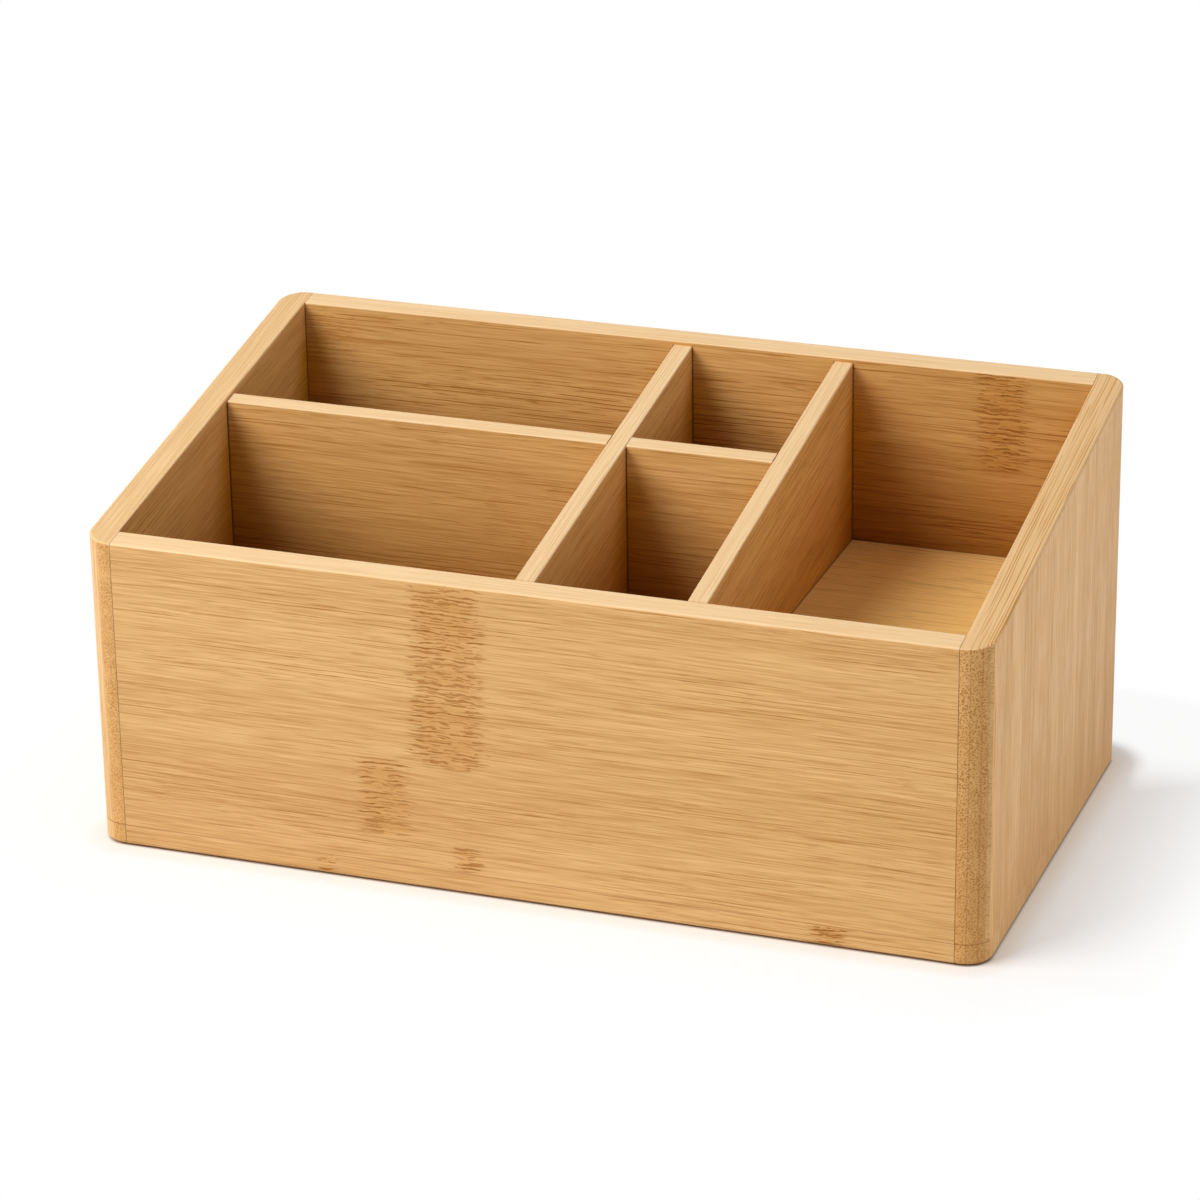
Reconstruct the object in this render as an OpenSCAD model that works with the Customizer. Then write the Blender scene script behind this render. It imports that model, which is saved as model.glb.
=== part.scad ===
// Slant-top desk organizer made of bamboo boards.
// Four walls stand on a glued-up base. Two partitions and a cross divider make
// five open compartments, and a raised floor makes the right-hand one shallow.
// The front faces -Y, the left side is at -X, and the table is at Z = 0.
// The origin is under the middle of the box. Sizes are in millimetres.

/* [Box] */
// Outside width
box_w = 300; // [270:1:360]
// Outside depth
box_d = 170; // [150:1:220]
// Height of the front edge above the table
front_h = 106; // [90:1:140]
// Rise of the rim towards the back, in degrees
rim_slope = 10; // [0:0.5:14]
// Radius of the four upright corners, seen from above
corner_r = 9; // [3:0.5:9.5]

/* [Boards] */
// Thickness of the two side panels
side_t = 10; // [9.5:0.5:14]
// Thickness of the front and back panels
wall_t = 8; // [7:0.5:12]
// Thickness of the base
base_t = 7; // [6:0.5:12]
// Thickness of the two partitions
partition_t = 6.5; // [5.5:0.5:9]
// Thickness of the cross divider
divider_t = 6; // [4:0.5:9]
// Thickness of the raised floor
tray_t = 5; // [3:0.5:8]

/* [Compartments] */
// Clear width of the left compartments
left_bay_w = 135; // [100:1:150]
// Clear width of the middle compartments
middle_bay_w = 50; // [35:1:70]
// Clear depth of the front compartments
front_bay_d = 86; // [50:1:115]
// Height of the raised floor above the table
tray_h = 70; // [25:1:85]
// Drop of the partitions below the back panel, at their back end
partition_drop = 1.5; // [0:0.1:4]

/* [Joints] */
// Depth of the housings cut in the outer walls
wall_housing_d = 3; // [2:0.5:4]
// Depth of the housing for the cross divider in the right partition
partition_housing_d = 2.5; // [1.5:0.5:3]
// Depth of the grooves that hold the raised floor
tray_groove_d = 2; // [1:0.5:2.5]
// Distance that the housings stop below the top edges
housing_stop = 8; // [4:1:20]
// Gap around every glued joint
joint_gap = 0.1; // [0.05:0.01:0.3]
// Share of the crossing's height that the partition's slot takes
lap_share = 0.5; // [0.3:0.05:0.7]
// Thickness of the tongue on each end of the base board
tongue_t = 2.5; // [1.5:0.5:3.5]
// Length of that tongue
tongue_l = 1.8; // [1:0.1:2]
// Distance that the tongue stops short of the front and back
tongue_stop = 22; // [14:1:40]

/* [Dowels] */
// Diameter of the corner dowels
corner_dowel_d = 4; // [3:0.5:5]
// Length of the corner dowels
corner_dowel_l = 20; // [14:1:30]
// Depth of the corner dowels in the side panels
corner_dowel_in = 4.5; // [3:0.5:5]
// Distance from a board's end to its first corner dowel
corner_dowel_inset = 16; // [10:1:24]
// Corner dowels at each upright corner
corner_dowel_rows = 3; // [2:1:5]
// Diameter of the base dowels
base_dowel_d = 4; // [3:0.5:5]
// Length of the base dowels
base_dowel_l = 14; // [10:1:20]
// Depth of the base dowels in the base
base_dowel_in = 4.5; // [3:0.5:5]
// Distance of the base rails' dowels from the front and back
rail_dowel_inset = 35; // [25:1:40]
// Chamfer on the dowels' ends
dowel_chamfer = 0.6; // [0.3:0.1:1]
// Gap around each dowel
dowel_gap = 0.05; // [0.02:0.01:0.15]
// Room for glue past each end of a dowel
glue_room = 0.5; // [0.2:0.1:0.9]

/* [Edges] */
// Radius of the outer edge of the rim
rim_ease = 1; // [0.4:0.1:1.5]
// Radius of the rim's inner edge and of the dividers' edges
inner_ease = 0.5; // [0.2:0.1:0.9]
// Radius of the base's bottom edge
base_ease = 1.2; // [0.4:0.1:2.5]

/* [Pads] */
// Diameter of the non-slip pads
pad_d = 14; // [8:1:20]
// Thickness of the pads
pad_t = 1.2; // [0.9:0.1:2]
// Height that the pads stand proud of the base
pad_proud = 0.5; // [0.3:0.1:0.8]
// Distance from the box's sides to the pads' centres
pad_side_inset = 26; // [22:1:50]
// Distance from the front and back to the pads' centres
pad_end_inset = 24; // [14:1:50]
// Gap around each pad in its recess
pad_gap = 0.2; // [0.1:0.1:0.5]

/* [Hidden] */
$fn = 64;

honey = [0.85, 0.66, 0.40];
honey_light = [0.90, 0.73, 0.48];
honey_dark = [0.78, 0.58, 0.33];
pale_wood = [0.88, 0.80, 0.64];
pad_grey = [0.62, 0.60, 0.56];

// A cutter reaches this far past the face it starts from
over = 1;

// The rounding of the rim turns the front corners this many degrees early,
// and the straight rounding along the sides starts this far early to meet it
rim_turn = 1;
rim_lap = 0.2;

// Outer faces, inner faces and levels
half_w = box_w / 2;
half_d = box_d / 2;
inner_x = half_w - side_t;
inner_y = half_d - wall_t;
base_z = pad_proud;
base_top = base_z + base_t;
function rim_z(y) = front_h + (y + half_d) * tan(rim_slope);

// Partitions start flush with the front panel and end just below the back panel
partition_rise = rim_z(inner_y) - partition_drop - rim_z(-inner_y);
partition_slope = atan(partition_rise / (2 * inner_y));
function partition_z(y) = rim_z(-inner_y) + (y + inner_y) * tan(partition_slope);

// Left faces of the partitions, front face of the cross divider
left_x = -inner_x + left_bay_w;
right_x = left_x + partition_t + middle_bay_w;
divider_y = -inner_y + front_bay_d;
divider_back_y = divider_y + divider_t;
divider_top = partition_z(divider_y);
lap_z = base_top + (divider_top - base_top) * lap_share;
housing_top = divider_top - housing_stop;
tray_x = right_x + partition_t;

// Dowel places
corner_dowel_y = half_d - wall_t / 2;
rail_dowel_x = half_w - side_t / 2;
rail_dowel_y = half_d - rail_dowel_inset;
wall_dowel_x = [left_x - left_bay_w / 2, right_x - middle_bay_w / 2, (tray_x + inner_x) / 2];
corner_dowel_first = base_top + corner_dowel_inset;
function corner_dowel_z(y, i) = corner_dowel_first
    + i * (rim_z(y) - corner_dowel_inset - corner_dowel_first) / (corner_dowel_rows - 1);

// Waste between a convex corner and the arc of radius r that rounds it.
// The corner's edges leave it at the angles a and b, counter-clockwise.
module corner_waste(corner, a, b, r) {
    half = (b - a) / 2;
    middle = [cos((a + b) / 2), sin((a + b) / 2)];
    run = r / tan(half);
    centre = corner + middle * r / sin(half);
    difference() {
        polygon([corner - over * middle, corner + run * [cos(a), sin(a)], centre,
            corner + run * [cos(b), sin(b)]]);
        translate(centre) circle(r);
    }
}

// Extrudes a shape drawn in the Y-Z plane along +X
module along_x(x, length) {
    translate([x, 0, 0]) rotate([90, 0, 90]) linear_extrude(length) children();
}

// Outline of the whole box seen from above
module footprint() {
    difference() {
        square([box_w, box_d], center = true);
        corner_waste([half_w, half_d], 180, 270, corner_r);
        corner_waste([-half_w, half_d], 270, 360, corner_r);
        corner_waste([-half_w, -half_d], 0, 90, corner_r);
        corner_waste([half_w, -half_d], 90, 180, corner_r);
    }
}

// Sweeps a profile around the footprint. The profile is drawn in radius and
// height, with the upright corners' axis at radius zero.
module around_footprint() {
    cx = half_w - corner_r;
    cy = half_d - corner_r;
    for (turn = [[cx, cy, 0, 2 * cx], [-cx, cy, 90, 2 * cy], [-cx, -cy, 180, 2 * cx], [cx, -cy, 270, 2 * cy]])
        translate([turn[0], turn[1], 0]) rotate(turn[2]) {
            rotate_extrude(angle = 90) children();
            translate([-turn[3], 0, 0]) rotate([90, 0, 90]) linear_extrude(turn[3]) children();
        }
}

// Moves into the plane of the rim: X as before, Y up the slope from the
// front edge, Z square to the rim
module on_rim() {
    translate([0, -half_d, front_h]) rotate([rim_slope, 0, 0]) children();
}

// Extrudes a profile drawn across the rim from one depth of the box to another
module along_rim(from_y, to_y) {
    start = (from_y + half_d) / cos(rim_slope);
    end = (to_y + half_d) / cos(rim_slope);
    on_rim() translate([0, end, 0]) rotate([90, 0, 0]) linear_extrude(end - start) children();
}

// A wooden dowel standing on the origin, with chamfered ends
module dowel(d, length) {
    rotate_extrude() polygon([[0, 0], [d / 2 - dowel_chamfer, 0], [d / 2, dowel_chamfer],
        [d / 2, length - dowel_chamfer], [d / 2 - dowel_chamfer, length], [0, length]]);
}

// The hole for a dowel, with room for glue at both ends
module dowel_hole(d, length) {
    translate([0, 0, -glue_room]) cylinder(d = d + 2 * dowel_gap, h = length + 2 * glue_room);
}

// Puts a dowel or its hole at every place on the right-hand upright corners
module at_right_corners() {
    for (y = [-corner_dowel_y, corner_dowel_y], i = [0 : corner_dowel_rows - 1])
        translate([inner_x + corner_dowel_in, y, corner_dowel_z(y, i)]) rotate([0, -90, 0]) children();
}

// Puts a dowel or its hole at every place under the right-hand side panel
module at_right_rail() {
    for (y = [-rail_dowel_y, rail_dowel_y])
        translate([rail_dowel_x, y, base_top - base_dowel_in]) children();
}

// Puts a dowel or its hole at every place under the front and back panels
module at_walls() {
    for (x = wall_dowel_x, y = [-corner_dowel_y, corner_dowel_y])
        translate([x, y, base_top - base_dowel_in]) children();
}

// Right-hand side panel before any housing is cut
module side_blank() {
    difference() {
        intersection() {
            along_x(inner_x, side_t) difference() {
                polygon([[-half_d, base_top], [half_d, base_top],
                    [half_d, rim_z(half_d)], [-half_d, front_h]]);
                corner_waste([-half_d, front_h], -90, rim_slope, rim_ease);
                corner_waste([half_d, rim_z(half_d)], 180 + rim_slope, 270, rim_ease);
            }
            linear_extrude(rim_z(half_d) + over) footprint();
        }
        along_rim(-half_d + corner_r - rim_lap, half_d - corner_r)
            corner_waste([half_w, 0], 180, 270, rim_ease);
        rim_corner_waste(-half_d + corner_r, -90 - rim_turn);
        rim_corner_waste(half_d - corner_r, 0);
        along_rim(-inner_y, inner_y) corner_waste([inner_x, 0], -90, 0, inner_ease);
        at_right_corners() dowel_hole(corner_dowel_d, corner_dowel_l);
        at_right_rail() dowel_hole(base_dowel_d, base_dowel_l);
    }
}

// Waste that eases the rim around one upright corner
module rim_corner_waste(y, turn) {
    on_rim() translate([half_w - corner_r, (y + half_d) / cos(rim_slope), 0]) rotate(turn)
        rotate_extrude(angle = 90)
            corner_waste([corner_r / cos(rim_slope), 0], 180, 270, rim_ease);
}

module side_panel_right() {
    color(honey) difference() {
        side_blank();
        translate([inner_x - over, -inner_y, tray_h - tray_t - joint_gap])
            cube([over + tray_groove_d + joint_gap, 2 * inner_y, tray_t + 2 * joint_gap]);
    }
}

module side_panel_left() {
    color(honey) difference() {
        mirror([1, 0, 0]) side_blank();
        translate([-inner_x - wall_housing_d - joint_gap, divider_y - joint_gap, base_top - over])
            cube([wall_housing_d + joint_gap + over, divider_t + 2 * joint_gap,
                housing_top + joint_gap - base_top + over]);
    }
}

// A front or back panel from its profile, with housings for the partitions.
// side is -1 for the front and 1 for the back.
module wall_panel(side) {
    length = inner_x - joint_gap;
    stop_z = partition_z(side * inner_y) - housing_stop + joint_gap;
    depth = wall_housing_d + joint_gap;
    difference() {
        along_x(-length, 2 * length) children();
        for (x = [left_x, right_x])
            translate([x - joint_gap, side > 0 ? inner_y - over : -inner_y - depth, base_top - over])
                cube([partition_t + 2 * joint_gap, depth + over, stop_z - base_top + over]);
        at_right_corners() dowel_hole(corner_dowel_d, corner_dowel_l);
        mirror([1, 0, 0]) at_right_corners() dowel_hole(corner_dowel_d, corner_dowel_l);
        at_walls() dowel_hole(base_dowel_d, base_dowel_l);
    }
}

module front_panel() {
    color(honey_light) wall_panel(-1) difference() {
        polygon([[-half_d, base_top], [-inner_y, base_top], [-inner_y, rim_z(-inner_y)], [-half_d, front_h]]);
        corner_waste([-half_d, front_h], -90, rim_slope, rim_ease);
        corner_waste([-inner_y, rim_z(-inner_y)], 180 + rim_slope, 270, inner_ease);
    }
}

module back_panel() {
    color(honey_light) wall_panel(1) difference() {
        polygon([[inner_y, base_top], [half_d, base_top], [half_d, rim_z(half_d)], [inner_y, rim_z(inner_y)]]);
        corner_waste([half_d, rim_z(half_d)], 180 + rim_slope, 270, rim_ease);
        corner_waste([inner_y, rim_z(inner_y)], -90, rim_slope, inner_ease);
    }
}

// The whole base layer with its bottom edge eased all round
module base_layer() {
    difference() {
        translate([0, 0, base_z]) linear_extrude(base_t) footprint();
        around_footprint() corner_waste([corner_r, base_z], 90, 180, base_ease);
        at_walls() dowel_hole(base_dowel_d, base_dowel_l);
        at_right_rail() dowel_hole(base_dowel_d, base_dowel_l);
        mirror([1, 0, 0]) at_right_rail() dowel_hole(base_dowel_d, base_dowel_l);
    }
}

// The part of the base layer between two depths into the box from its right
module base_slice(x, width) {
    intersection() {
        base_layer();
        translate([x, -box_d, 0]) cube([width, 2 * box_d, base_top + over]);
    }
}

// The tongues on the base board's ends, or the space that holds them
module base_tongues(gap) {
    width = box_d - 2 * tongue_stop + 2 * gap;
    reach = inner_x + tongue_l + gap;
    translate([-reach, -width / 2, base_z + (base_t - tongue_t) / 2 - gap])
        cube([2 * reach, width, tongue_t + 2 * gap]);
}

module pad_places() {
    for (x = [-1, 1], y = [-1, 1])
        translate([x * (half_w - pad_side_inset), y * (half_d - pad_end_inset), 0]) children();
}

module base_board() {
    color(honey_light) difference() {
        union() {
            base_slice(-inner_x + joint_gap, 2 * (inner_x - joint_gap));
            base_tongues(0);
        }
        pad_places() translate([0, 0, base_z - over])
            cylinder(d = pad_d + 2 * pad_gap, h = pad_t - pad_proud + over);
    }
}

module base_rail_right() {
    color(honey_dark) difference() {
        base_slice(inner_x, side_t + over);
        base_tongues(joint_gap);
    }
}

module base_rail_left() {
    color(honey_dark) difference() {
        base_slice(-half_w - over, side_t + over);
        base_tongues(joint_gap);
    }
}

// A front-to-back partition: its ends reach into the walls and are cut down
// below the top edge, where the walls' housings stop
module partition_blank(x) {
    end = inner_y + wall_housing_d;
    front_stop = partition_z(-inner_y) - housing_stop;
    back_stop = partition_z(inner_y) - housing_stop;
    along = 2 * inner_y / cos(partition_slope);
    difference() {
        along_x(x, partition_t) polygon([[-end, base_top], [end, base_top], [end, back_stop], [inner_y, back_stop],
            [inner_y, partition_z(inner_y)], [-inner_y, partition_z(-inner_y)], [-inner_y, front_stop],
            [-end, front_stop]]);
        translate([x, -inner_y, partition_z(-inner_y)]) rotate([partition_slope, 0, 0])
            translate([0, along + over, 0]) rotate([90, 0, 0]) linear_extrude(along + 2 * over) {
                corner_waste([0, 0], -90, 0, inner_ease);
                corner_waste([partition_t, 0], 180, 270, inner_ease);
            }
    }
}

// The left partition is slotted from below and drops over the cross divider
module partition_left() {
    color(honey) difference() {
        partition_blank(left_x);
        translate([left_x - over, divider_y - joint_gap, base_top - over])
            cube([partition_t + 2 * over, divider_t + 2 * joint_gap, lap_z - base_top + over]);
    }
}

// The right partition houses the cross divider on one face and the raised
// floor on the other
module partition_right() {
    color(honey) difference() {
        partition_blank(right_x);
        translate([right_x - over, divider_y - joint_gap, base_top - over])
            cube([over + partition_housing_d + joint_gap, divider_t + 2 * joint_gap,
                housing_top + joint_gap - base_top + over]);
        translate([tray_x - tray_groove_d - joint_gap, -inner_y, tray_h - tray_t - joint_gap])
            cube([over + tray_groove_d + joint_gap, 2 * inner_y, tray_t + 2 * joint_gap]);
    }
}

// The cross divider runs from the left side panel to the right partition and
// is slotted from above where the left partition crosses it
module cross_divider() {
    left_end = -inner_x - wall_housing_d;
    right_end = right_x + partition_housing_d;
    slope_top = partition_z(divider_back_y);
    color(honey_light) difference() {
        along_x(left_end, right_end - left_end) difference() {
            polygon([[divider_y, base_top], [divider_back_y, base_top], [divider_back_y, slope_top],
                [divider_y, divider_top]]);
            corner_waste([divider_y, divider_top], -90, partition_slope, inner_ease);
            corner_waste([divider_back_y, slope_top], 180 + partition_slope, 270, inner_ease);
        }
        translate([left_end - over, divider_y - over, housing_top])
            cube([wall_housing_d + over + joint_gap, divider_t + 2 * over, housing_stop + divider_t]);
        translate([right_x - joint_gap, divider_y - over, housing_top])
            cube([partition_housing_d + over + joint_gap, divider_t + 2 * over, housing_stop + divider_t]);
        translate([left_x - joint_gap, divider_y - over, lap_z])
            cube([partition_t + 2 * joint_gap, divider_t + 2 * over, slope_top - lap_z + over]);
    }
}

module tray_floor() {
    color(honey_light) translate([tray_x - tray_groove_d, -inner_y + joint_gap, tray_h - tray_t])
        cube([inner_x - tray_x + 2 * tray_groove_d, 2 * (inner_y - joint_gap), tray_t]);
}

module corner_dowels() {
    color(pale_wood) {
        at_right_corners() dowel(corner_dowel_d, corner_dowel_l);
        mirror([1, 0, 0]) at_right_corners() dowel(corner_dowel_d, corner_dowel_l);
    }
}

module base_dowels() {
    color(pale_wood) {
        at_walls() dowel(base_dowel_d, base_dowel_l);
        at_right_rail() dowel(base_dowel_d, base_dowel_l);
        mirror([1, 0, 0]) at_right_rail() dowel(base_dowel_d, base_dowel_l);
    }
}

module foot_pads() {
    color(pad_grey) pad_places() cylinder(d = pad_d, h = pad_t);
}

side_panel_left();
side_panel_right();
front_panel();
back_panel();
base_board();
base_rail_left();
base_rail_right();
partition_left();
partition_right();
cross_divider();
tray_floor();
corner_dowels();
base_dowels();
foot_pads();
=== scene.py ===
import math
from dataclasses import dataclass

import bpy
from mathutils import Matrix, Vector


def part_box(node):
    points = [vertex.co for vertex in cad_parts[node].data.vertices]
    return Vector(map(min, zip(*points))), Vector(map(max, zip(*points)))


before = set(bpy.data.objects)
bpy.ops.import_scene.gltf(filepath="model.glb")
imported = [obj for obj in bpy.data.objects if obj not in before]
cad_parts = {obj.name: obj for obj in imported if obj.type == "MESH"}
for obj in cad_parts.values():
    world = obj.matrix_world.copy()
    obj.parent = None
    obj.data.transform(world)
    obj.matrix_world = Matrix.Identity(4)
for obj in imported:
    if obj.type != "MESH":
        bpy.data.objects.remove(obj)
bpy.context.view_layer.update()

# The box, in metres, with the sizes of the CAD model
BOX_W = 0.300
BOX_D = 0.170
SIDE_T = 0.010
WALL_T = 0.008
CORNER_R = 0.009
FRONT_H = 0.106
RIM_SLOPE = math.radians(10)
PARTITION_DROP = 0.0015
BASE_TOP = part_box("base_board")[1].z
HALF_W = BOX_W / 2
HALF_D = BOX_D / 2
INNER_X = HALF_W - SIDE_T
INNER_Y = HALF_D - WALL_T

# The camera, fitted to the photograph
CAMERA_TARGET = Vector((-0.0031, -0.005, 0.0724))
CAMERA_AZIMUTH = math.radians(19.94)
CAMERA_ELEVATION = math.radians(22.40)
CAMERA_ROLL = math.radians(-0.87)
CAMERA_DISTANCE = 1.4894
CAMERA_LENS = 136.8
SENSOR = 36.0

# Directions along a board
ALONG_X = Vector((1, 0, 0))
DEPTH = Vector((0, 1, 0))
UP = Vector((0, 0, 1))
ALONG_SLOPE = Vector((0, math.cos(RIM_SLOPE), math.sin(RIM_SLOPE)))
OFF_SLOPE = Vector((0, -math.sin(RIM_SLOPE), math.cos(RIM_SLOPE)))

# A point of a sloping top edge, and the direction square to it: the rim, and the partitions' tops
RIM = (Vector((0, -HALF_D, FRONT_H)), OFF_SLOPE)
PARTITION_FRONT = Vector((0, -INNER_Y, FRONT_H + WALL_T * math.tan(RIM_SLOPE)))
PARTITION_RUN = 2 * INNER_Y
PARTITION_RISE = PARTITION_RUN * math.tan(RIM_SLOPE) - PARTITION_DROP
PARTITION_TOP = (PARTITION_FRONT, Vector((0, -PARTITION_RISE, PARTITION_RUN)).normalized())

# Wood colours, linear: the pale and the deep tone between which a surface varies
HONEY = ((0.775, 0.476, 0.203), (0.512, 0.252, 0.072))
TRAY = ((0.990, 0.680, 0.262), (0.895, 0.522, 0.151))
# Colours of the top edges: sanded wood, made lighter still as a painted highlight of the light from
# above
CREAM = ((0.890, 0.645, 0.378), (0.795, 0.515, 0.248))
SANDED_HIGHLIT = ((0.825, 0.560, 0.292), (0.680, 0.395, 0.156))
BEIGE = ((0.930, 0.590, 0.280), (0.660, 0.345, 0.115))
# The left board's veneer, darker than BEIGE as painted shade on its rounded front corner, which
# faces the key lamp
BEIGE_LEFT_SHADED = ((0.840, 0.560, 0.295), (0.595, 0.330, 0.122))

# Colours laid over the wood for its fibres, marks and lines
AMBER = (0.540, 0.245, 0.045)
RUST_LIGHT = (0.400, 0.170, 0.032)
RUST = (0.330, 0.125, 0.014)
BROWN = (0.250, 0.090, 0.014)
SHADE = (0.120, 0.038, 0.005)

# Tints that multiply the wood's colour inside the box: painted shade, deeper lower down and near
# the inner corners, and a tint that makes the back panel's inner face darker along X
INSIDE_HIGH = (1.000, 0.940, 0.780)
INSIDE_DEEP = (0.540, 0.360, 0.105)
INSIDE_PALE = (0.800, 0.640, 0.170)
INSIDE_SIDE = (0.660, 0.420, 0.060)
# Painted shade in the inner corners
NOOK_SHADE = (0.790, 0.640, 0.150)
DUSK = (0.850, 0.845, 0.800)

# How much of its colour each layer lays over the wood
COVER = {
    "lines": 0.64,
    "end grain": 0.30,
    "dots": 0.72,
    "mark patch": 0.34,
    "mark dashes": 0.66,
    "veneer lines": 0.42,
    "veneer foot": 0.22,
    "rim": 0.92,
    "outer ply": 0.20,
    "low end": 0.15,
    "seam": 0.55,
    "corner": 0.72,
}

# Sizes of the wood's patterns, as their length along the fibres and their width across them
SWAY = (0.110, 0.016)
BANDS = (0.260, 0.010)
STREAKS = (0.080, 0.0015)
FINE_FIBRES = (0.020, 0.00050)
CROWDS = (0.100, 0.014)
FRAYS = (0.026, 0.003)
LONG_LINES = (0.028, 0.00062)
FINE_LINES = (0.010, 0.00046)
CUT_FIBRES = (0.00086, 0.00086)
CUT_CROWDS = (0.004, 0.004)
MARK_EDGE = (0.030, 0.0016)
MARK_CURL = (0.0060, 0.0030)
RUBBER_SPECKLE = (0.0006, 0.0006)

# Dark threads: spacing of their rows, their length, the noise over which they set in, thinness
LONG_THREADS = (0.0016, 0.060, 0.48, 0.56, 8.0)
HAIR_THREADS = (0.0010, 0.060, 0.45, 0.54, 5.0)
COARSE_DASHES = (0.0017, 0.0085, 0.42, 0.52, 4.6)
FINE_DASHES = (0.0011, 0.0045, 0.45, 0.55, 5.0)

# How far, in metres, the fibres sway, the threads fray, and a mark's edge and dashes wander
SWAY_REACH = 0.0022
FRAY_REACH = 0.0009
EDGE_REACH = 0.016
CURL_REACH = 0.0022

# Half widths of the dark lines at a glued joint, in an inner corner and between two plies
SEAM_LINE = 0.00035
CORNER_LINE = 0.00065
PLY_LINE = 0.00025

# Glue lines in the side boards, from the middle of the box, and where the outer ply's tone starts
PLIES = (0.1434, 0.1467, 0.1485)
OUTER_PLY = (PLIES[1] - 0.0002, PLIES[1] + 0.0002)

# How far the sanded top edge, with its painted highlight, reaches down a board's faces
RIM_REACH = 0.0006

# How far past the inner walls the inside is still full, and where it ends
INSIDE_FULL = 0.00005
INSIDE_ENDS = 0.0002

# Depths below the rim between which the inside's tints of painted shade, in the depth and in the
# inner corners, and the corner lines set in
TINT_DEPTHS = (0.014, 0.078)
NOOK_DEPTHS = (0.003, 0.020)
CORNER_DEPTHS = (0.8 * PARTITION_DROP, 1.1 * PARTITION_DROP)

# Reach of an inner corner's painted shade at the rim, and what it gains for each metre of depth
NOOK_REACH = 0.006
NOOK_GROWTH = 0.40

# Heights between which painted shade makes the side boards' outer faces and front ends deeper in
# tone towards the foot
FACE_FOOT_SHADE = (0.050, 0.0)
END_FOOT_SHADE = (0.075, 0.010)

# Where the back panel's inner face gets darker, along X
BACK_DUSK = (0.046, 0.070)

# Node marks: place along X, height, half length, half width and strength
FRONT_MARKS = (
    (-0.0258, 0.0752, 0.0120, 0.0320, 1.0),
    (-0.0480, 0.0305, 0.0085, 0.0132, 0.9),
    (-0.0205, 0.0122, 0.0042, 0.0044, 1.1),
)
BASE_MARKS = (
    (-0.0693, 0.0040, 0.0028, 0.0034, 1.4),
    (0.0990, 0.0040, 0.0062, 0.0034, 1.4),
)
BACK_MARKS = (
    (0.1095, 0.1170, 0.0085, 0.0170, 1.00),
    (-0.1300, 0.1230, 0.0090, 0.0100, 0.35),
)

# What differs between the side boards
SIDE_LOOKS = {
    # The left skin is darker: painted shade on the rounded front corner
    "left": {"speck": 0.70, "hairs": 0.45, "plies": 0.0, "skin": BEIGE_LEFT_SHADED, "veneer": 0.0052},
    "right": {"speck": 1.0, "hairs": 0.90, "plies": 0.30, "skin": BEIGE, "veneer": 0.0006},
}

# Rubber of the foot pads, from dark to pale
RUBBER = ((0.22, 0.21, 0.19), (0.34, 0.33, 0.30))

# The lamps' places, diameters and powers, all aimed at the middle of the box
LAMPS = {
    "key": ((-1.27, -1.07, 1.50), 1.6, 53.0),
    "fill": ((1.88, -0.15, 0.55), 2.0, 12.6),
}

# Strength of the sky's light near the horizon and overhead
SKY_LOW = 0.50
SKY_HIGH = 0.15

# The floor's half width, and its colours: to the light, to the camera, and under the box, a dark
# paint that stands in for the contact shadow in the gap
FLOOR_SIZE = 4.0
FLOOR_LIT = (0.75, 0.75, 0.75)
FLOOR_SEEN = (0.96, 0.945, 0.93)
FLOOR_UNDER_SHADE = (0.52, 0.41, 0.31)

# The distances from the box's outline over which the floor's painted shade under it ends
FLOOR_EDGE = (-0.0009, 0.0005)

# The floor's glow to the camera: its darker, warmer colour at the box's foot, a painted contact
# shadow, and how far out that turns white
GLOW_FOOT_SHADE = (0.84, 0.74, 0.62)
GLOW_WHITE = 0.010

# The glow's share at the foot, what more it has before the front, and its gain for each metre out
GLOW_SHARE = 0.32
GLOW_BEFORE = 0.20
GLOW_GROWTH = 12.0
BEFORE_FRONT = (-HALF_D - 0.001, -HALF_D - 0.008)

# The glow's share behind the box, where that sets in along the depth, and how far out it is full
GLOW_BEHIND = 0.93
BEHIND_DEPTHS = (0.020, 0.090)
BEHIND_REACH = 0.014


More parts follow.
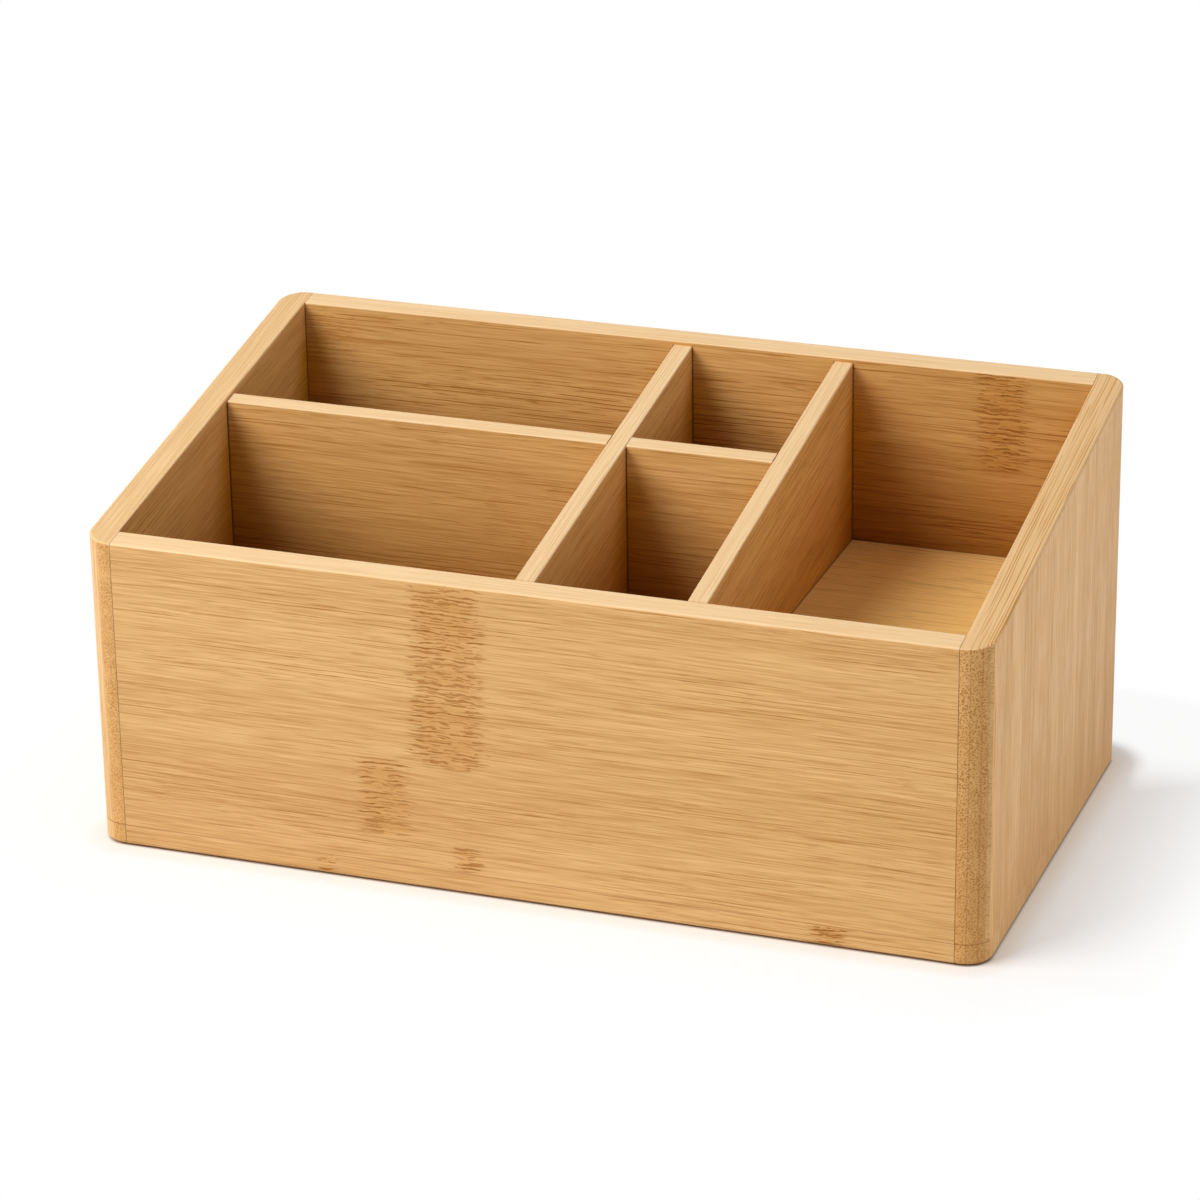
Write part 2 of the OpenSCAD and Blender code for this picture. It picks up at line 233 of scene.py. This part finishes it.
class Graph:
    """Adds shader nodes to one node tree."""

    def __init__(self, tree):
        self.tree = tree

    def node(self, kind, inputs=None, **settings):
        made = self.tree.nodes.new(kind)
        for name, value in settings.items():
            setattr(made, name, value)
        for place, value in (inputs or {}).items():
            self.feed(made.inputs[place], value)
        return made

    def feed(self, socket, value):
        if isinstance(value, bpy.types.NodeSocket):
            self.tree.links.new(value, socket)
        elif isinstance(value, tuple) and len(value) == 3 and socket.type == "RGBA":
            socket.default_value = (*value, 1.0)
        else:
            socket.default_value = value

    def math(self, operation, *values):
        made = self.node("ShaderNodeMath", dict(enumerate(values)), operation=operation)
        return made.outputs[0]

    def chain(self, operation, values):
        """One operation over all the values in turn."""
        total = values[0]
        for value in values[1:]:
            total = self.math(operation, total, value)
        return total

    def add(self, *values):
        return self.chain("ADD", values)

    def less(self, *values):
        return self.chain("SUBTRACT", values)

    def times(self, *values):
        return self.chain("MULTIPLY", values)

    def largest(self, *values):
        return self.chain("MAXIMUM", values)

    def smallest(self, *values):
        return self.chain("MINIMUM", values)

    def size_of(self, value):
        return self.math("ABSOLUTE", value)

    def vector(self, operation, first, second):
        return self.node("ShaderNodeVectorMath", {0: first, 1: second}, operation=operation)

    def dot(self, point, direction):
        return self.vector("DOT_PRODUCT", point, tuple(direction)).outputs["Value"]

    def shift(self, point, offset):
        return self.vector("ADD", point, offset).outputs[0]

    def tinted(self, colour, tint):
        return self.vector("MULTIPLY", colour, tint).outputs[0]

    def combine(self, x, y, z):
        return self.node("ShaderNodeCombineXYZ", {0: x, 1: y, 2: z}).outputs[0]

    def separate(self, point):
        return self.node("ShaderNodeSeparateXYZ", {0: point}).outputs

    def stretch(self, grain, size):
        """The grain space measured in a pattern's length along the fibres and width across."""
        length, width = size
        return self.vector("MULTIPLY", grain, (1 / length, 1 / width, 1 / width)).outputs[0]

    def noise(self, point, detail=2.0, roughness=0.5):
        inputs = {"Vector": point, "Scale": 1.0, "Detail": detail, "Roughness": roughness}
        return self.node("ShaderNodeTexNoise", inputs).outputs["Fac"]

    def about_zero(self, noise, width):
        """A noise between 0 and 1, made into one about 0 of the given width."""
        return self.times(self.add(noise, -0.5), width)

    def ramp(self, value, low, high):
        """0 below low and 1 above high, with a smooth step between; low may lie above high."""
        inputs = {"Value": value, "From Min": low, "From Max": high}
        made = self.node("ShaderNodeMapRange", inputs, interpolation_type="SMOOTHSTEP")
        return made.outputs["Result"]

    def line(self, distance, half_width):
        """1 on a line and 0 beyond its half width."""
        return self.ramp(self.size_of(distance), half_width, 0.3 * half_width)

    def blend(self, factor, under, over):
        made = self.node("ShaderNodeMix", {0: factor}, data_type="RGBA")
        self.feed(made.inputs[6], under)
        self.feed(made.inputs[7], over)
        return made.outputs[2]


def new_group(name, inputs, outputs):
    """An empty node group: its graph, its input sockets and its output node."""
    tree = bpy.data.node_groups.new(name, "ShaderNodeTree")
    for socket in inputs:
        tree.interface.new_socket(socket, in_out="INPUT", socket_type="NodeSocketVector")
    for socket in outputs:
        tree.interface.new_socket(socket, in_out="OUTPUT", socket_type="NodeSocketFloat")
    graph = Graph(tree)
    entry = graph.node("NodeGroupInput")
    return graph, entry.outputs, graph.node("NodeGroupOutput")


def threads(graph, grain, pitch, length, low, high, thin):
    """Dark fibres, one to a row, that taper out where their row's noise falls towards low.

    pitch is the rows' spacing, and a fibre's half width is at most that spacing over thin."""
    place = graph.separate(grain)
    height = graph.times(graph.add(place[1], place[2]), 1 / pitch)
    row = graph.math("FLOOR", height)
    chance = graph.node("ShaderNodeTexWhiteNoise", {"W": row}, noise_dimensions="1D")
    chance = chance.outputs["Value"]
    reach = graph.add(graph.times(place[0], 1 / length), graph.times(chance, 91.0))
    waves = graph.noise(graph.combine(reach, graph.times(chance, 37.0), 0.0), detail=1.0)
    strength = graph.ramp(waves, low, high)
    centre = graph.add(0.3, graph.times(chance, 0.4))
    aside = graph.size_of(graph.less(graph.math("FRACT", height), centre))
    return graph.ramp(graph.less(strength, graph.times(aside, thin)), 0.0, 0.5)


def wandering(graph, grain, size, reach, **settings):
    """The grain space moved across the fibres by a noise of the given size and reach."""
    noise = graph.noise(graph.stretch(grain, size), **settings)
    return graph.shift(grain, graph.combine(0.0, graph.about_zero(noise, reach), 0.0))


def fibre_tone(graph, grain):
    """The soft banding of the wood, about 0."""
    bands = graph.noise(graph.stretch(grain, BANDS), detail=1.0)
    streaks = graph.noise(graph.stretch(grain, STREAKS), detail=3.0, roughness=0.6)
    fibres = graph.noise(graph.stretch(grain, FINE_FIBRES), detail=1.0)
    weights = ((bands, 0.7), (streaks, 0.8), (fibres, 1.3))
    return graph.add(*(graph.about_zero(noise, weight) for noise, weight in weights))


def fibre_lines(graph, grain, frayed):
    """The thin dark streaks of a face, more of them where they crowd."""
    crowd = graph.ramp(graph.noise(graph.stretch(grain, CROWDS), detail=1.0), 0.34, 0.60)
    long_threads = threads(graph, frayed, *LONG_THREADS)
    long_lines = graph.noise(graph.stretch(grain, LONG_LINES), detail=1.0)
    fine_lines = graph.noise(graph.stretch(grain, FINE_LINES), detail=1.0)
    return graph.add(
        graph.times(long_threads, graph.add(graph.times(crowd, 0.6), 0.4)),
        graph.times(graph.ramp(long_lines, 0.60, 0.70), 0.45),
        graph.times(graph.ramp(fine_lines, 0.60, 0.70), crowd, 0.60),
    )


def fibre_dots(graph, grain):
    """The cut ends of the fibres, crowded in some places and sparse in others."""
    cut = graph.separate(graph.stretch(grain, CUT_FIBRES))
    inputs = {"Scale": 1.0, "Randomness": 0.9}
    cells = graph.node("ShaderNodeTexVoronoi", inputs, voronoi_dimensions="2D")
    graph.feed(cells.inputs["Vector"], graph.combine(cut[1], cut[2], 0.0))
    crowding = graph.noise(graph.stretch(grain, CUT_CROWDS), detail=1.0)
    far = graph.add(cells.outputs["Distance"], graph.about_zero(crowding, 0.45))
    return graph.ramp(far, 0.34, 0.17)


def make_fibre_group():
    """Bamboo fibres in grain space, where X runs along the fibres, in metres.

    Tone is the soft banding about 0, Lines the thin dark streaks, Hairs the long fine lines of a
    planed edge, and Dots the cut ends of the fibres."""
    outputs = ["Tone", "Lines", "Hairs", "Dots"]
    graph, given, result = new_group("bamboo_fibres", ["Grain"], outputs)
    grain = wandering(graph, given["Grain"], SWAY, SWAY_REACH, detail=1.0)
    frayed = wandering(graph, grain, FRAYS, FRAY_REACH)
    graph.feed(result.inputs["Tone"], fibre_tone(graph, grain))
    graph.feed(result.inputs["Lines"], fibre_lines(graph, grain, frayed))
    graph.feed(result.inputs["Hairs"], threads(graph, frayed, *HAIR_THREADS))
    graph.feed(result.inputs["Dots"], fibre_dots(graph, grain))
    return graph.tree


def make_mark_group():
    """A node mark of the bamboo: a patch of short wavy dashes across the fibres.

    Patch is where it lies, and Dashes its dark marks."""
    inputs = ["Grain", "Centre", "Half size"]
    graph, given, result = new_group("bamboo_node_mark", inputs, ["Patch", "Dashes"])
    grain = given["Grain"]
    offset = graph.vector("SUBTRACT", grain, given["Centre"]).outputs[0]
    away = [graph.size_of(part) for part in graph.separate(offset)]
    half = graph.separate(given["Half size"])

    edge = graph.noise(graph.stretch(grain, MARK_EDGE), detail=2.0, roughness=0.7)
    along = graph.less(half[0], graph.add(away[0], graph.about_zero(edge, EDGE_REACH)))
    beside = graph.ramp(graph.less(half[1], away[1]), -0.0010, 0.0012)
    deep = graph.ramp(graph.less(half[2], away[2]), -0.0002, 0.0002)
    held = graph.times(beside, deep)

    curled = wandering(graph, grain, MARK_CURL, CURL_REACH)
    kinds = (COARSE_DASHES, FINE_DASHES)
    dashes = graph.add(*(threads(graph, curled, *kind) for kind in kinds))

    patch = graph.times(graph.ramp(along, -0.0020, 0.0060), held)
    dashes = graph.times(dashes, graph.ramp(along, -0.0020, 0.0025), held)
    graph.feed(result.inputs["Patch"], patch)
    graph.feed(result.inputs["Dashes"], dashes)
    return graph.tree


FIBRES = make_fibre_group()
NODE_MARK = make_mark_group()


def grain_space(graph, point, along, across):
    """The point measured along a board's fibres, across its face and through it."""
    through = Vector(along).cross(across)
    return graph.combine(*(graph.dot(point, side) for side in (along, across, through)))


def depth_below(graph, point, top):
    """The distance below a sloping top edge, square to it."""
    corner, square = top
    return graph.less(corner.dot(square), graph.dot(point, square))


def new_material(name):
    material = bpy.data.materials.new(name)
    material.use_nodes = True
    material.node_tree.nodes.clear()
    return material, Graph(material.node_tree)


def give_surface(graph, shader):
    output = graph.node("ShaderNodeOutputMaterial")
    graph.tree.links.new(shader.outputs[0], output.inputs["Surface"])


def satin(graph, colour, relief, roughness):
    """A satin surface with a fine relief."""
    bump = graph.node("ShaderNodeBump", {"Strength": 0.35, "Distance": 0.00012, "Height": relief})
    shader = graph.node("ShaderNodeBsdfPrincipled", {"Base Color": colour, "Roughness": roughness})
    graph.feed(shader.inputs["Normal"], bump.outputs["Normal"])
    shader.inputs["IOR"].default_value = 1.45
    shader.inputs["Specular IOR Level"].default_value = 0.22
    give_surface(graph, shader)


@dataclass
class Look:
    """What sets one board's bamboo apart from another's.

    base, rim and skin are the colours of the solid wood, of the top edge, sanded and partly a
    painted highlight, or None where it has none, and of a side board's outer veneer. top is a point
    of the top edge and the direction square to it. marks are the node marks. joints and corners
    are planes, each a direction and a place: those of the glue lines on the board's faces, and
    those of the boards that it meets inside the box. veneer is the thickness of the outer veneer,
    or None. shaded says that painted shade makes the inner face deeper in tone lower down,
    towards the tint deep, and dusk is the stretch along the board where that face gets darker,
    or None. speck, hairs, streak and plies are the strengths of its end grain, of the top edge's
    fine lines, of the dark fibres on its faces and of the glue lines between its plies."""

    base: tuple = HONEY
    rim: tuple = CREAM
    skin: tuple = BEIGE
    top: tuple = RIM
    marks: tuple = ()
    joints: tuple = ()
    corners: tuple = ()
    veneer: float = None
    shaded: bool = True
    deep: tuple = INSIDE_DEEP
    dusk: tuple = None
    speck: float = 1.0
    hairs: float = 0.22
    streak: float = 1.0
    plies: float = 0.0


class Board:
    """The bamboo of one board, built up layer by layer in its material.

    along and across are the directions of its fibres and of its face, and boards of different
    seeds differ in their pattern."""

    def __init__(self, name, along, across, seed, look):
        self.material, self.graph = new_material(name)
        graph = self.graph
        self.look = look
        self.seed = seed
        texture = graph.node("ShaderNodeTexCoord").outputs
        self.point = texture["Object"]
        self.place_along = graph.dot(self.point, along)
        self.outward = graph.size_of(graph.dot(self.point, ALONG_X))
        self.height = graph.dot(self.point, UP)
        self.depth = depth_below(graph, self.point, RIM)
        self.grain = grain_space(graph, self.point, along, across)
        self.fibres = self.fibres_in(self.grain, seed)
        self.end = graph.ramp(graph.size_of(graph.dot(texture["Normal"], along)), 0.50, 0.62)
        self.veneered = self.veneer_mask() if look.veneer else 0.0
        self.on_rim = self.rim_mask() if look.rim else 0.0
        self.inside = self.inside_mask()
        lower = graph.ramp(self.depth, *CORNER_DEPTHS)
        self.below_rim = graph.less(graph.times(self.inside, lower), self.on_rim)

    def fibres_in(self, grain, seed):
        seeded = self.graph.shift(grain, (seed * 0.731, seed * 0.417, seed * 0.293))
        return self.graph.node("ShaderNodeGroup", {"Grain": seeded}, node_tree=FIBRES).outputs

    def veneer_mask(self):
        """1 in the outer veneer, and 0 in the wood behind it."""
        start = HALF_W - self.look.veneer
        softness = 0.15 * self.look.veneer
        return self.graph.ramp(self.outward, start - softness, start + softness)

    def rim_mask(self):
        """1 on the board's sloping top edge, falling to 0 just below it."""
        below = depth_below(self.graph, self.point, self.look.top)
        return self.graph.ramp(below, RIM_REACH, 0.4 * RIM_REACH)

    def inside_mask(self):
        """1 between the inner faces of the walls, and on them."""
        graph = self.graph
        behind = graph.size_of(graph.dot(self.point, DEPTH))
        within_x = graph.ramp(self.outward, INNER_X + INSIDE_ENDS, INNER_X + INSIDE_FULL)
        within_y = graph.ramp(behind, INNER_Y + INSIDE_ENDS, INNER_Y + INSIDE_FULL)
        return graph.times(within_x, within_y)

    def distance_to(self, plane):
        direction, place = plane
        return self.graph.less(self.graph.dot(self.point, direction), place)

    def lay(self, share, colour):
        """Lays a share of a colour over the board's own."""
        self.colour = self.graph.blend(share, self.colour, colour)

    def paint_shade(self, share, tint):
        """Paints shade: lays a share of the board's own colour, multiplied by a tint, over it."""
        self.lay(share, self.graph.tinted(self.colour, tint))

    def solid_wood(self):
        graph = self.graph
        look = self.look
        tone = self.fibres["Tone"]
        lines = graph.times(self.fibres["Lines"], graph.less(1.0, self.end))
        dots = graph.times(self.fibres["Dots"], self.end)
        self.colour = graph.blend(graph.add(0.42, tone), *look.base)
        self.lay(graph.times(lines, COVER["lines"] * look.streak), RUST_LIGHT)
        self.lay(graph.times(self.end, COVER["end grain"] * look.speck), AMBER)
        self.lay(graph.times(dots, COVER["dots"] * look.speck), RUST)
        self.relief = graph.less(graph.times(tone, -0.5), graph.times(lines, 0.5), dots)

    def node_marks(self):
        graph = self.graph
        for place, height, half_length, half_width, strength in self.look.marks:
            inputs = {
                "Grain": self.grain,
                "Centre": (place, height, 0.0),
                "Half size": (half_length, half_width, BOX_W),
            }
            mark = graph.node("ShaderNodeGroup", inputs, node_tree=NODE_MARK).outputs
            self.lay(graph.times(mark["Patch"], COVER["mark patch"] * strength), AMBER)
            self.lay(graph.times(mark["Dashes"], COVER["mark dashes"] * strength), RUST)
            self.relief = graph.less(self.relief, graph.times(mark["Dashes"], 1.8 * strength))

    def outer_veneer(self):
        """A thin ply with upright fibres on the outer face, with painted shade near the foot."""
        graph = self.graph
        upright = grain_space(graph, self.point, UP, ALONG_X.cross(UP))
        fibres = self.fibres_in(upright, self.seed + 3.0)
        tone = graph.add(0.45, graph.times(fibres["Tone"], 1.45))
        colour = graph.blend(tone, *self.look.skin)
        colour = graph.blend(graph.times(fibres["Lines"], COVER["veneer lines"]), colour, AMBER)
        # Painted shade: the veneer deeper in tone towards the foot
        foot = graph.ramp(self.height, *FACE_FOOT_SHADE)
        colour = graph.blend(graph.times(foot, COVER["veneer foot"]), colour, AMBER)
        self.lay(self.veneered, colour)

    def inner_shading(self):
        """Painted shade: the wood deeper and warmer in tone lower down inside the box."""
        graph = self.graph
        tint = graph.blend(graph.ramp(self.depth, *TINT_DEPTHS), INSIDE_HIGH, self.look.deep)
        if self.look.dusk:
            reached = graph.ramp(self.place_along, *self.look.dusk)
            tint = graph.blend(reached, tint, graph.tinted(tint, DUSK))
        self.paint_shade(self.inside, tint)

    # The top edge: sanded wood, partly a painted highlight of the light from above.
    def sanded_highlit_rim(self):
        graph = self.graph
        tone = graph.add(0.40, graph.times(self.fibres["Tone"], 0.9))
        bare = graph.blend(tone, *self.look.rim)
        bare = graph.blend(graph.times(self.fibres["Hairs"], self.look.hairs), bare, AMBER)
        self.lay(graph.times(self.on_rim, COVER["rim"]), bare)

    def end_plies(self):
        """A side board's plies on its front end, and their glue lines there and on the rim."""
        graph = self.graph
        look = self.look
        outer = graph.times(graph.ramp(self.outward, *OUTER_PLY), COVER["outer ply"] * look.plies)
        # Painted shade: the bare front end deeper in tone towards the foot
        low = graph.times(graph.ramp(self.height, *END_FOOT_SHADE), COVER["low end"] * look.speck)
        bare_end = graph.times(self.end, graph.less(1.0, self.veneered))
        self.lay(graph.times(bare_end, graph.add(outer, low)), AMBER)
        shown = graph.largest(self.end, self.on_rim)
        for place in PLIES:
            line = graph.line(graph.less(self.outward, place), PLY_LINE)
            self.lay(graph.times(line, shown, look.plies), BROWN)

    def glued_seams(self):
        """The dark lines of the glued joints, which a veneer covers on its face."""
        graph = self.graph
        bare = graph.largest(graph.less(1.0, self.veneered), self.end)
        for joint in self.look.joints:
            line = graph.line(self.distance_to(joint), SEAM_LINE)
            self.lay(graph.times(line, bare, COVER["seam"]), BROWN)

    def shade_nooks(self):
        """Painted shade near the inner corners, reaching further out the lower it is."""
        graph = self.graph
        reach = graph.add(NOOK_REACH, graph.times(self.depth, NOOK_GROWTH))
        near = 0.0
        for plane in (*self.look.corners, *self.look.joints):
            apart = graph.math("DIVIDE", graph.size_of(self.distance_to(plane)), reach)
            near = graph.largest(near, graph.ramp(apart, 1.0, 0.0))
        lower = graph.ramp(self.depth, *NOOK_DEPTHS)
        self.paint_shade(graph.times(near, self.below_rim, lower), NOOK_SHADE)

    def corner_lines(self):
        """The dark lines in the inner corners: the joints, with the shade in their gaps painted in.
        """
        graph = self.graph
        for corner in self.look.corners:
            line = graph.line(self.distance_to(corner), CORNER_LINE)
            self.lay(graph.times(line, self.below_rim, COVER["corner"]), SHADE)

    def finish(self):
        graph = self.graph
        tone = graph.times(self.fibres["Tone"], -0.20)
        lines = graph.times(self.fibres["Lines"], 0.08)
        satin(graph, self.colour, self.relief, graph.add(0.50, tone, lines))


def bamboo(name, along, across, seed, **changes):
    """The material of one board, from the layers that its look calls for."""
    look = Look(**changes)
    board = Board(name, along, across, seed, look)
    board.solid_wood()
    board.node_marks()
    if look.veneer:
        board.outer_veneer()
    if look.shaded:
        board.inner_shading()
    if look.rim:
        board.sanded_highlit_rim()
    if look.veneer:
        board.end_plies()
    board.glued_seams()
    if look.shaded and look.corners:
        board.shade_nooks()
    board.corner_lines()
    board.finish()
    return board.material


def rubber(name):
    """Matt grey rubber with a fine speckle."""
    material, graph = new_material(name)
    point = graph.node("ShaderNodeTexCoord").outputs["Object"]
    speckle = graph.noise(graph.stretch(point, RUBBER_SPECKLE), detail=3.0)
    roughness = graph.add(0.72, graph.times(speckle, 0.15))
    satin(graph, graph.blend(speckle, *RUBBER), speckle, roughness)
    return material


def dress(name, material):
    """Gives a CAD node its material in every slot."""
    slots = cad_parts[name].data.materials
    slots.clear()
    slots.append(material)


def faces(direction, *names):
    """The planes of the named boards' faces square to the direction."""
    axis = [ALONG_X, DEPTH, UP].index(direction)
    return [(direction, corner[axis]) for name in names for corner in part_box(name)]


SIDE_WALLS = [(ALONG_X, -INNER_X), (ALONG_X, INNER_X)]
END_WALLS = [(DEPTH, -INNER_Y), (DEPTH, INNER_Y)]
FLOOR_SEAM = [(UP, BASE_TOP)]
PARTITIONS = faces(ALONG_X, "partition_left", "partition_right")
DIVIDER = faces(DEPTH, "cross_divider")


def dress_walls():
    """The front panel, the back panel and the base under them."""
    shared = {"joints": SIDE_WALLS, "corners": PARTITIONS}
    front_look = {**shared, "marks": FRONT_MARKS}
    dress("front_panel", bamboo("bamboo_front", ALONG_X, UP, 1.0, **front_look))
    back_look = {**shared, "marks": BACK_MARKS, "streak": 1.8, "dusk": BACK_DUSK}
    dress("back_panel", bamboo("bamboo_back", ALONG_X, UP, 2.0, **back_look))
    base_look = {"rim": None, "marks": BASE_MARKS, "joints": SIDE_WALLS + FLOOR_SEAM}
    dress("base_board", bamboo("bamboo_base", ALONG_X, UP, 3.0, **base_look))


def dress_sides():
    """The boards that run from front to back, on the left and on the right."""
    slope = (ALONG_SLOPE, OFF_SLOPE)
    corners = {"left": END_WALLS + DIVIDER, "right": END_WALLS}
    for number, side in enumerate(("left", "right")):
        shared = {"joints": FLOOR_SEAM, "corners": corners[side], "deep": INSIDE_SIDE}
        look = {**SIDE_LOOKS[side], **shared}
        panel = bamboo("bamboo_side_" + side, *slope, 4.0 + number, rim=SANDED_HIGHLIT, **look)
        dress("side_panel_" + side, panel)
        rail = bamboo("bamboo_rail_" + side, *slope, 6.0 + number, rim=None, **look)
        dress("base_rail_" + side, rail)
        look = {"top": PARTITION_TOP, "corners": corners[side], "deep": INSIDE_PALE}
        look |= {"streak": 1.2, "hairs": 0.35}
        partition = bamboo("bamboo_partition_" + side, *slope, 8.0 + number, **look)
        dress("partition_" + side, partition)


def dress_crossboards():
    """The cross divider and the raised tray floor."""
    meets = PARTITIONS + SIDE_WALLS[:1]
    look = {"top": PARTITION_TOP, "joints": meets, "corners": meets, "streak": 1.2}
    dress("cross_divider", bamboo("bamboo_divider", ALONG_X, UP, 10.0, **look))
    around = END_WALLS + SIDE_WALLS[1:] + faces(ALONG_X, "partition_right")
    look = {"base": TRAY, "rim": None, "shaded": False, "corners": around}
    dress("tray_floor", bamboo("bamboo_tray", ALONG_X, UP, 11.0, **look))


def dress_hidden():
    """The dowels and the foot pads."""
    dress("corner_dowels", bamboo("dowel_corner", ALONG_X, UP, 12.0, base=CREAM, rim=None))
    dress("base_dowels", bamboo("dowel_base", UP, ALONG_X, 13.0, base=CREAM, rim=None))
    dress("foot_pads", rubber("pad_rubber_grey"))


def make_camera():
    data = bpy.data.cameras.new("camera")
    data.sensor_width = SENSOR
    data.lens = CAMERA_LENS
    camera = bpy.data.objects.new("camera", data)
    bpy.context.scene.collection.objects.link(camera)
    back = Vector((
        math.sin(CAMERA_AZIMUTH) * math.cos(CAMERA_ELEVATION),
        -math.cos(CAMERA_AZIMUTH) * math.cos(CAMERA_ELEVATION),
        math.sin(CAMERA_ELEVATION),
    ))
    turn = back.to_track_quat("Z", "Y").to_matrix() @ Matrix.Rotation(CAMERA_ROLL, 3, "Z")
    camera.matrix_world = Matrix.Translation(CAMERA_TARGET + back * CAMERA_DISTANCE) @ turn.to_4x4()
    bpy.context.scene.camera = camera


def seen_by_camera(graph):
    """1 for camera, mirror and glass rays, 0 for the rays that light the object."""
    rays = graph.node("ShaderNodeLightPath").outputs
    kinds = ("Is Camera Ray", "Is Glossy Ray", "Is Transmission Ray")
    return graph.largest(*(rays[kind] for kind in kinds))


def past_outline(graph, point):
    """The distance on the floor from the box's rounded outline, negative under the box."""
    beside = graph.add(graph.size_of(graph.dot(point, ALONG_X)), CORNER_R - HALF_W)
    behind = graph.add(graph.size_of(graph.dot(point, DEPTH)), CORNER_R - HALF_D)
    apart = [graph.largest(side, 0.0) for side in (beside, behind)]
    round_corner = graph.math("SQRT", graph.add(*(graph.times(side, side) for side in apart)))
    within = graph.smallest(graph.largest(beside, behind), 0.0)
    return graph.add(round_corner, within, -CORNER_R)


def glow_share(graph, place, away):
    """How much the floor glows to the camera, so that the box's shadow shows near it only."""
    before = graph.times(graph.ramp(place, *BEFORE_FRONT), GLOW_BEFORE)
    fade = graph.add(GLOW_SHARE, before, graph.times(away, GLOW_GROWTH))
    behind = graph.ramp(place, *BEHIND_DEPTHS)
    behind = graph.times(behind, graph.ramp(away, 0.0, BEHIND_REACH), GLOW_BEHIND)
    return graph.smallest(graph.largest(fade, behind), 1.0)


def floor_material():
    """Matt white that keeps the box's shadow, with painted shade under the box and at its foot, and
    glows plain white to the camera further out.
    """
    material, graph = new_material("floor_white")
    seen = seen_by_camera(graph)
    point = graph.node("ShaderNodeTexCoord").outputs["Object"]
    away = past_outline(graph, point)
    outside = graph.ramp(away, *FLOOR_EDGE)
    paint = graph.blend(outside, FLOOR_UNDER_SHADE, graph.blend(seen, FLOOR_LIT, FLOOR_SEEN))
    matt = graph.node("ShaderNodeBsdfDiffuse", {"Color": paint}).outputs[0]
    # Painted shade: the glow darker and warmer at the box's foot
    glow = graph.blend(graph.ramp(away, 0.0, GLOW_WHITE), GLOW_FOOT_SHADE, (1.0, 1.0, 1.0))
    white = graph.node("ShaderNodeEmission", {"Color": glow, "Strength": 1.0}).outputs[0]
    share = graph.times(seen, outside, glow_share(graph, graph.dot(point, DEPTH), away))
    give_surface(graph, graph.node("ShaderNodeMixShader", {0: share, 1: matt, 2: white}))
    return material


def make_floor():
    mesh = bpy.data.meshes.new("floor")
    signs = ((-1, -1), (1, -1), (1, 1), (-1, 1))
    corners = [(x * FLOOR_SIZE, y * FLOOR_SIZE, 0) for x, y in signs]
    mesh.from_pydata(corners, [], [(0, 1, 2, 3)])
    floor = bpy.data.objects.new("floor", mesh)
    bpy.context.scene.collection.objects.link(floor)
    mesh.materials.append(floor_material())


def add_lamp(name, place, size, power):
    data = bpy.data.lights.new(name, "AREA")
    data.shape = "DISK"
    data.size = size
    data.energy = power
    lamp = bpy.data.objects.new(name, data)
    bpy.context.scene.collection.objects.link(lamp)
    aim = Vector(place) - Vector((0, 0, FRONT_H / 2))
    turn = aim.to_track_quat("Z", "Y").to_matrix().to_4x4()
    lamp.matrix_world = Matrix.Translation(place) @ turn


def make_sky():
    """White to the camera, and a soft light on the object that is weaker overhead."""
    world = bpy.data.worlds.new("studio")
    bpy.context.scene.world = world
    world.use_nodes = True
    world.node_tree.nodes.clear()
    graph = Graph(world.node_tree)
    ray = graph.node("ShaderNodeTexCoord").outputs["Generated"]
    climb = graph.largest(graph.dot(ray, UP), 0.0)
    lit = graph.add(SKY_LOW, graph.times(climb, SKY_HIGH - SKY_LOW))
    seen = seen_by_camera(graph)
    strength = graph.add(seen, graph.times(graph.less(1.0, seen), lit))
    sky = graph.node("ShaderNodeBackground", {"Color": (1.0, 1.0, 1.0), "Strength": strength})
    output = graph.node("ShaderNodeOutputWorld")
    graph.tree.links.new(sky.outputs[0], output.inputs["Surface"])


def light_scene():
    make_sky()
    for name, (place, size, power) in LAMPS.items():
        add_lamp(name, place, size, power)


dress_walls()
dress_sides()
dress_crossboards()
dress_hidden()
make_floor()
light_scene()
make_camera()
bpy.context.scene.view_settings.view_transform = "Standard"
